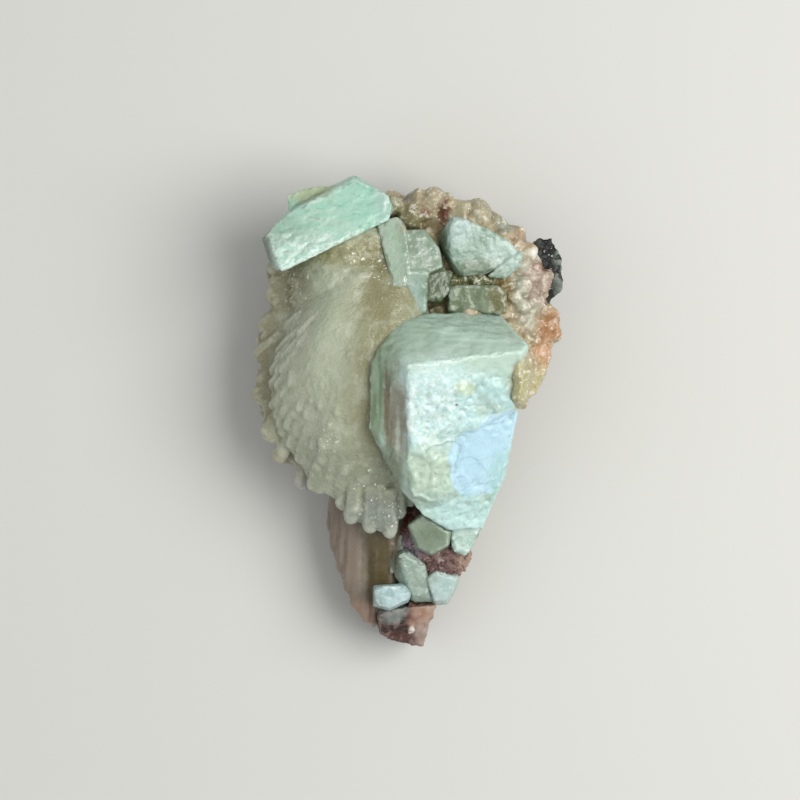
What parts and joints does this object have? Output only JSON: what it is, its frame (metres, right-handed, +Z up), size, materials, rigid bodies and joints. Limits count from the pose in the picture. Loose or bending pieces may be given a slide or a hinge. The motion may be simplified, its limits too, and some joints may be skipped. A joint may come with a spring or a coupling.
{
  "type": "stilbite cluster",
  "caption": "Stilbite cluster: fanned sheaves of stilbite blades with blocky pale green apophyllite crystals and drusy crusts on a basalt matrix with a flat back.",
  "frame": {"origin": "under the middle of the cluster's box, on the surface that its flat back rests on", "axes": "+Z up out of the front of the cluster, +Y along its length towards the broad end with the plate crystal, +X towards the side with the drusy crust"},
  "size_m": [0.0674, 0.1, 0.046],
  "materials": {
    "apophyllite": "glassy to pearly, milky pale green",
    "stilbite": "pearly, translucent grey-cream",
    "drusy_crust": "glassy small crystals, tan to pink",
    "red_druse": "dull red-brown small crystals",
    "basalt": "rough dark rock"
  },
  "bodies": {
    "root": {"apophyllite_large": "apophyllite", "apophyllite_plate": "apophyllite", "apophyllite_middle": "apophyllite", "apophyllite_wedge": "apophyllite", "apophyllite_back": "apophyllite", "apophyllite_lower_rhomb": "apophyllite", "apophyllite_edge": "apophyllite", "apophyllite_lower_group": "apophyllite", "apophyllite_tip_block": "apophyllite", "basalt_matrix": "basalt", "stilbite_main_sheaf": "stilbite", "stilbite_lower_sheaf": "stilbite", "drusy_crust": "drusy_crust", "red_druse": "red_druse"}
  },
  "joints": []
}
